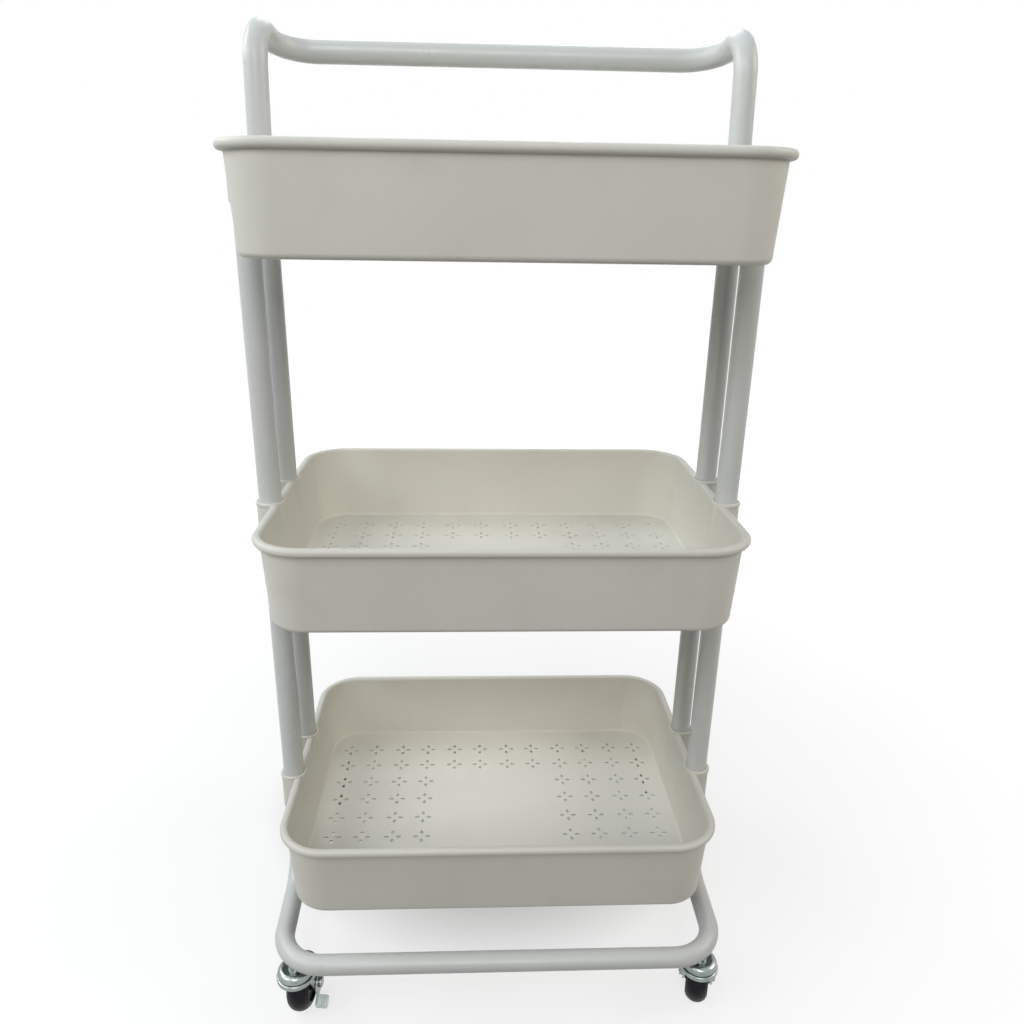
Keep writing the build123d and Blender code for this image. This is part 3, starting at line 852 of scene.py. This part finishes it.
def socket_shape():
    """A base frame's belled end, inside a collar of the bottom tray."""
    top = RIMS["bottom_tray"] - SEAT_DEPTH
    bottom = RIMS["bottom_tray"] - SOCKET_END
    outline = profile(
        (0.0, top, 0.0), (TUBE_RADIUS, top, 0.0), (TUBE_RADIUS, bottom, SOCKET_ROUND), (0.0, bottom, 0.0)
    )
    return lathe(outline, TUBE_SIDES, closed=False)


def add_base_frames(material):
    """The front and rear base frames, each with its two belled ends."""
    for name, side in (("front_base_frame", -1), ("rear_base_frame", 1)):
        half = [
            (POST_X, side * POST_Y, RIMS["bottom_tray"] - SOCKET_END + SOCKET_ROUND),
            (POST_X, side * POST_Y, BASE_HEIGHT),
            (BASE_X, side * BASE_Y, BASE_HEIGHT),
        ]
        loop = bent_tube(BASE_TUBE_RADIUS, half, (LEG_BEND, CORNER_BEND))
        ends = [(x, side * POST_Y, 0.0) for x in (-POST_X, POST_X)]
        sockets = [placed(socket_shape(), Matrix.Translation(end)) for end in ends]
        tube_piece(name, joined(loop, *sockets), material)


def add_posts(material):
    """The straight posts between the trays."""
    tiers = (("lower_post", "bottom_tray", "middle_tray"), ("upper_post", "middle_tray", "top_tray"))
    for tier, below, above in tiers:
        for depth, y in (("front", -POST_Y), ("rear", POST_Y)):
            for side, x in (("left", -POST_X), ("right", POST_X)):
                ends = [Vector((x, y, RIMS[tray] - SEAT_DEPTH)) for tray in (below, above)]
                tube_piece(f"{tier}_{depth}_{side}", tube_along(ends, TUBE_RADIUS, TUBE_SIDES), material)


def add_caps(material):
    """The plugs in the top tray's front collars."""
    seat = RIMS["top_tray"] - SEAT_DEPTH
    top = RIMS["top_tray"] + COLLAR_LIP_RISE + CAP_CROWN
    outline = profile(
        (0.0, top, 0.0), (TUBE_RADIUS, top, CAP_CROWN), (TUBE_RADIUS, seat, 0.0), (0.0, seat, 0.0)
    )
    cap = lathe(outline, TUBE_SIDES, closed=False)
    caps = [placed(cap, Matrix.Translation((x, -POST_Y, 0.0))) for x in (-POST_X, POST_X)]
    mesh = mesh_of("post_caps", joined(*caps))
    piece("post_cap_plugs", mesh, material, "frame", ["post_caps"])


# Casters: each shape has the stem on the Z axis and the wheel trailing along +Y


def side_plane(start):
    """Stands a flat outline of trail and height up beside the wheel, from a place along the axle."""
    columns = Matrix(((0.0, 0.0, 1.0), (1.0, 0.0, 0.0), (0.0, 1.0, 0.0))).to_4x4()
    return Matrix.Translation((start, 0.0, 0.0)) @ columns


def on_axle():
    """Turns a shape about Z into one about the axle."""
    turn = Matrix.Rotation(pi / 2.0, 4, "Y")
    return Matrix.Translation((0.0, CASTER_TRAIL, WHEEL_RADIUS)) @ turn


def cup_shape():
    """The fixed cup: a dome with a stamped recess and a boss under the tube."""
    recess_floor = CUP_TOP - CUP_RECESS
    outline = profile(
        (STEM_CLEAR_RADIUS, CUP_CEILING, 0.0),
        (CUP_RADIUS - SHEET, CUP_CEILING, CUP_INNER_ROUND),
        (CUP_RADIUS - SHEET, CUP_SKIRT_BOTTOM, 0.0),
        (CUP_RADIUS, CUP_SKIRT_BOTTOM, CUP_EDGE_ROUND),
        (CUP_RADIUS, CUP_TOP, CUP_DOME_ROUND),
        (CUP_SHOULDER_RADIUS, CUP_TOP, CUP_EDGE_ROUND),
        (CUP_RECESS_RADIUS, recess_floor, CUP_EDGE_ROUND),
        (CUP_BOSS_RADIUS, recess_floor, CUP_EDGE_ROUND),
        (CUP_BOSS_RADIUS, CUP_BOSS_TOP, CUP_BOSS_ROUND),
        (STEM_CLEAR_RADIUS, CUP_BOSS_TOP, 0.0),
    )
    return lathe(outline, TUBE_SIDES)


def crown_shape():
    """The fork's round crown, under the cup."""
    outline = profile(
        (STEM_CLEAR_RADIUS, CROWN_BOTTOM, 0.0),
        (CROWN_RADIUS, CROWN_BOTTOM, 0.0),
        (CROWN_RADIUS, CROWN_TOP, CROWN_ROUND),
        (STEM_CLEAR_RADIUS, CROWN_TOP, 0.0),
    )
    return lathe(outline, TUBE_SIDES)


def skirt_shape():
    """The crown's skirt, which is open on the side where the wheel trails."""
    inner = CROWN_RADIUS - SHEET
    bottom = CROWN_TOP - CROWN_SKIRT
    outline = profile(
        (inner, CROWN_BOTTOM + SKIRT_TUCK, 0.0),
        (CROWN_RADIUS - SKIRT_TUCK, CROWN_BOTTOM + SKIRT_TUCK, 0.0),
        (CROWN_RADIUS, CROWN_BOTTOM, 0.0),
        (CROWN_RADIUS, bottom, SKIRT_EDGE_ROUND),
        (inner, bottom, SKIRT_INNER_ROUND),
    )
    half_gap = degrees(asin(CHEEK_INNER / CROWN_RADIUS))
    return lathe_part(outline, TRAIL_ANGLE + half_gap, TRAIL_ANGLE + 360.0 - half_gap, TUBE_SIDES)


def cheek_shapes():
    """The fork's two cheeks, from the crown down to the axle."""
    corners = [(-CHEEK_TOP_FRONT, CROWN_TOP), (CHEEK_TOP_BACK, CROWN_TOP)]
    corners += circle(AXLE_BOSS_RADIUS, PLATE_SIDES, (CASTER_TRAIL, WHEEL_RADIUS))
    plate = slab(hull_outline(corners), SHEET)
    return [placed(plate, side_plane(start)) for start in (CHEEK_INNER, -CHEEK_OUTER)]


def fork_shape():
    """The fork: a crown with a skirt, open over the wheel, and two cheeks to the axle."""
    return joined(crown_shape(), skirt_shape(), *cheek_shapes())


def tread_outline():
    """The tread's crowned section between the wheel's sides, as radius and place along the axle."""
    side = WHEEL_WIDTH / 2.0
    drop = WHEEL_RADIUS - TREAD_EDGE_RADIUS
    crown_radius = (side * side + drop * drop) / (2.0 * drop)
    outline = []
    for step in range(1, TREAD_STEPS):
        along = side - 2.0 * side * step / TREAD_STEPS
        rise = (crown_radius * crown_radius - along * along) ** 0.5
        outline.append((WHEEL_RADIUS - crown_radius + rise, along))
    return outline


def wheel_shape():
    """The wheel: a crowned tread on a dished body."""
    side = WHEEL_WIDTH / 2.0
    web = side - WHEEL_DISH
    hub = CHEEK_INNER - PART_GAP
    body = profile(
        (TREAD_EDGE_RADIUS, side, TREAD_EDGE_ROUND),
        (WHEEL_RIM_RADIUS, side, WHEEL_RIM_ROUND),
        (WHEEL_RIM_RADIUS, web, WHEEL_WEB_ROUND),
        (WHEEL_HUB_RADIUS, web, WHEEL_WEB_ROUND),
        (WHEEL_HUB_RADIUS, hub, WHEEL_HUB_ROUND),
        (WHEEL_BORE, hub, 0.0),
        (WHEEL_BORE, -hub, 0.0),
        (WHEEL_HUB_RADIUS, -hub, WHEEL_HUB_ROUND),
        (WHEEL_HUB_RADIUS, -web, WHEEL_WEB_ROUND),
        (WHEEL_RIM_RADIUS, -web, WHEEL_WEB_ROUND),
        (WHEEL_RIM_RADIUS, -side, WHEEL_RIM_ROUND),
        (TREAD_EDGE_RADIUS, -side, TREAD_EDGE_ROUND),
        steps=WHEEL_ROUND_STEPS,
    )
    return placed(lathe(body + tread_outline()[::-1], WHEEL_SIDES), on_axle())


def lever_plate():
    """The brake lever's plate: a disc on the axle, drawn out towards the pedal."""
    middle = Vector((CASTER_TRAIL, WHEEL_RADIUS))
    turn = Matrix.Rotation(radians(PEDAL_ANGLE), 2)
    corners = circle(LEVER_DISC_RADIUS, PLATE_SIDES, middle)
    for side in (-1, 1):
        corners.append(middle + turn @ Vector((PEDAL_INNER, side * LEVER_ARM_WIDTH / 2.0)))
    return placed(slab(hull_outline(corners), LEVER_SHEET), side_plane(LEVER_INNER))


def pedal_shape():
    """The pedal's tongue, its arm and its ribs, lying flat with the axle along X."""
    corners = [
        (0.0, PEDAL_INNER, 0.0),
        (PEDAL_REACH, PEDAL_INNER, 0.0),
        (PEDAL_REACH, PEDAL_OUTER, 0.0),
        (0.0, PEDAL_OUTER, 0.0),
    ]
    outline = rounded(corners, [PEDAL_CORNER] * len(corners), ROUND_STEPS)
    tongue = slab([(point.x, point.y) for point in outline], LEVER_SHEET)
    solids = [placed(tongue, Matrix.Translation((0.0, 0.0, -LEVER_SHEET / 2.0)))]
    arm_length = PEDAL_OUTER - PEDAL_CORNER
    arm_size = (LEVER_SHEET, arm_length, LEVER_SHEET)
    solids.append(box_shape(arm_size, (LEVER_SHEET / 2.0, arm_length / 2.0, 0.0)))
    rib_size = (RIB_WIDTH, PEDAL_OUTER - PEDAL_INNER - PEDAL_CORNER, LEVER_SHEET + 2.0 * RIB_HEIGHT)
    rib_y = (PEDAL_INNER + PEDAL_OUTER) / 2.0
    for index in range(PEDAL_RIBS):
        rib_x = (index + 1.0) * PEDAL_REACH / (PEDAL_RIBS + RIB_END_ROOM)
        solids.append(box_shape(rib_size, (rib_x, rib_y, 0.0)))
    return joined(*solids)


def lever_shape():
    """The brake lever: a plate on the axle, and a ribbed pedal that stands out from it."""
    place = Matrix.Translation((LEVER_INNER, CASTER_TRAIL, WHEEL_RADIUS))
    turn = Matrix.Rotation(radians(PEDAL_ANGLE), 4, "X")
    return joined(lever_plate(), placed(pedal_shape(), place @ turn))


def caster_place(name, turn):
    """A caster's place: at its swivel's axis in the frame, and turned as it is at rest."""
    stems = {joint["name"]: joint["pos_m"] for joint in frame["joints"]}
    stem_x, stem_y, _ = stems[f"{name}_swivel"]
    return Matrix.Translation((stem_x / MM, stem_y / MM, 0.0)) @ Matrix.Rotation(radians(-turn), 4, "Z")


def add_casters(zinc, steel, black):
    """The casters' visible pieces, and finishes for the CAD pieces inside them."""
    sharp = CASTER_SHARP_ANGLE
    for name, turn, locks in CASTERS:
        place = caster_place(name, turn)
        cup = mesh_of("caster_cup", placed(cup_shape(), place))
        piece(f"cup_{name}", cup, zinc, "frame", [f"caster_cup_{name}"], sharp)
        fork = mesh_of("fork", placed(fork_shape(), place))
        swivel = f"swivel_{name}"
        piece(f"fork_plate_{name}", fork, zinc, swivel, [f"fork_{name}"], sharp, FORK_BEVEL)
        wheel = mesh_of("wheel", placed(wheel_shape(), place))
        piece(f"tread_{name}", wheel, black, f"roller_{name}", [f"wheel_{name}"], sharp)
        if locks:
            lever = mesh_of("lever", placed(lever_shape(), place))
            nodes = [f"brake_lever_{name}"]
            piece(f"lever_{name}", lever, zinc, f"brake_{name}", nodes, sharp, LEVER_BEVEL)
        for node in ("axle", "axle_nut"):
            dress(f"{node}_{name}", zinc)
        for node in ("axle_sleeve", "caster_stem", "bearing_balls"):
            dress(f"{node}_{name}", steel)
    dress("caster_bushings", steel)


def dress(node, material):
    """Gives a CAD piece that stays its finish."""
    mesh = frame["nodes"][node].data
    mesh.materials.clear()
    mesh.materials.append(material)


# Stage


def seen(tree):
    """A value of one where a background shows directly, in a reflection or through glass."""
    path = tree.nodes.new("ShaderNodeLightPath")
    value = path.outputs[BACKGROUND_RAYS[0]]
    for name in BACKGROUND_RAYS[1:]:
        either = tree.nodes.new("ShaderNodeMath")
        either.operation = "MAXIMUM"
        tree.links.new(value, either.inputs[0])
        tree.links.new(path.outputs[name], either.inputs[1])
        value = either.outputs["Value"]
    return value


def add_world():
    """A white surrounding that adds a little soft light."""
    world = bpy.data.worlds.new("studio")
    bpy.context.scene.world = world
    world.use_nodes = True
    tree = world.node_tree
    light = tree.nodes["Background"]
    light.inputs["Color"].default_value = (*AMBIENT_COLOR, 1.0)
    light.inputs["Strength"].default_value = AMBIENT
    white = tree.nodes.new("ShaderNodeBackground")
    white.inputs["Color"].default_value = (*WHITE, 1.0)
    white.inputs["Strength"].default_value = 1.0
    mix = tree.nodes.new("ShaderNodeMixShader")
    tree.links.new(seen(tree), mix.inputs["Fac"])
    tree.links.new(light.outputs["Background"], mix.inputs[1])
    tree.links.new(white.outputs["Background"], mix.inputs[2])
    tree.links.new(mix.outputs["Shader"], tree.nodes["World Output"].inputs["Surface"])


def floor_white_with_painted_shadow():
    """The floor's finish: matte, with a glow that is seen directly and in reflections only, and that dims
    near the cart as a painted shadow.
    """
    finish = Finish("floor_white_with_painted_shadow", color=(0.28, 0.28, 0.28), roughness=0.8)
    finish.paint(finish.clouds(scale=3.0, detail=3.0, dark=(0.27, 0.27, 0.27), light=(0.29, 0.29, 0.29)))
    finish.specular(0.0)
    tree = finish.tree
    distance = tree.nodes.new("ShaderNodeVectorMath")
    distance.operation = "DISTANCE"
    distance.inputs[1].default_value = SHADOW_MIDDLE
    tree.links.new(finish.place, distance.inputs[0])
    part = tree.nodes.new("ShaderNodeMath")
    part.operation = "DIVIDE"
    part.inputs[1].default_value = FLOOR_FAR
    tree.links.new(distance.outputs["Value"], part.inputs[0])
    # Painted shadow: the glow is dimmest near the middle of the cart's shadow and turns white farther off
    stops = [(away / FLOOR_FAR, (glow, glow, glow)) for away, glow in FLOOR_GLOW_AND_PAINTED_SHADOW]
    tree.links.new(finish.ramp(part.outputs["Value"], *stops), finish.shader.inputs["Emission Color"])
    tree.links.new(seen(tree), finish.shader.inputs["Emission Strength"])
    return finish.material


def add_floor():
    """A plain pale floor: it shows the cart's shadow from the lamps, with a painted shadow where its glow
    dims near the cart, and turns to the background's white farther off.
    """
    half = FLOOR_HALF
    corners = [(-half, -half, 0.0), (half, -half, 0.0), (half, half, 0.0), (-half, half, 0.0)]
    mesh = bpy.data.meshes.new("floor")
    mesh.from_pydata(corners, [], [(0, 1, 2, 3)])
    mesh.materials.append(floor_white_with_painted_shadow())
    floor = bpy.data.objects.new("floor", mesh)
    bpy.context.scene.collection.objects.link(floor)


def aimed(place, target):
    """A matrix that stands at a place and looks at a target."""
    place = Vector(place)
    turn = (Vector(target) - place).to_track_quat("-Z", "Y")
    return Matrix.Translation(place) @ turn.to_matrix().to_4x4()


def add_light(name, place, size, power, color):
    """A large soft lamp that faces the cart's middle."""
    lamp = bpy.data.lights.new(name, "AREA")
    lamp.shape = "SQUARE"
    lamp.size = size
    lamp.energy = power
    lamp.color = color
    made = bpy.data.objects.new(name, lamp)
    made.matrix_world = aimed(place, LAMP_TARGET)
    bpy.context.scene.collection.objects.link(made)


def add_camera():
    """The photograph's viewpoint: close, a little below the top rim, and looking down."""
    place = Vector((EYE_X, EYE_Y, RIMS["top_tray"] - EYE_BELOW_TOP_RIM)) * MM
    yaw = radians(YAW)
    pitch = radians(PITCH)
    roll = radians(ROLL)
    level = Vector((sin(yaw), cos(yaw), 0.0))
    side = Vector((cos(yaw), -sin(yaw), 0.0))
    ahead = level * cos(pitch) - Vector((0.0, 0.0, sin(pitch)))
    above = level * sin(pitch) + Vector((0.0, 0.0, cos(pitch)))
    right = side * cos(roll) + above * sin(roll)
    up = above * cos(roll) - side * sin(roll)
    turn = Matrix((right, up, -ahead)).transposed().to_4x4()
    camera = bpy.data.cameras.new("photo_camera")
    camera.sensor_width = SENSOR_WIDTH
    camera.lens = SENSOR_WIDTH * FOCAL_PIXELS / IMAGE_PIXELS
    camera.shift_x = (IMAGE_PIXELS / 2.0 - VIEW_MIDDLE[0]) / IMAGE_PIXELS
    camera.shift_y = (VIEW_MIDDLE[1] - IMAGE_PIXELS / 2.0) / IMAGE_PIXELS
    camera.clip_start = NEAREST_SEEN * MM
    made = bpy.data.objects.new("photo_camera", camera)
    made.matrix_world = Matrix.Translation(place) @ turn
    bpy.context.scene.collection.objects.link(made)
    bpy.context.scene.camera = made


def main():
    """Dresses the cart and sets the stage."""
    bpy.context.scene.view_settings.view_transform = "Standard"
    zinc = zinc_plate()
    steel = plain_steel()
    add_trays(tray_plastic())
    paint = tube_paint()
    add_handle(paint)
    add_base_frames(paint)
    add_posts(paint)
    add_caps(cap_plastic())
    add_casters(zinc, steel, wheel_plastic())
    add_world()
    add_floor()
    for lamp in LAMPS:
        add_light(*lamp)
    add_camera()


main()
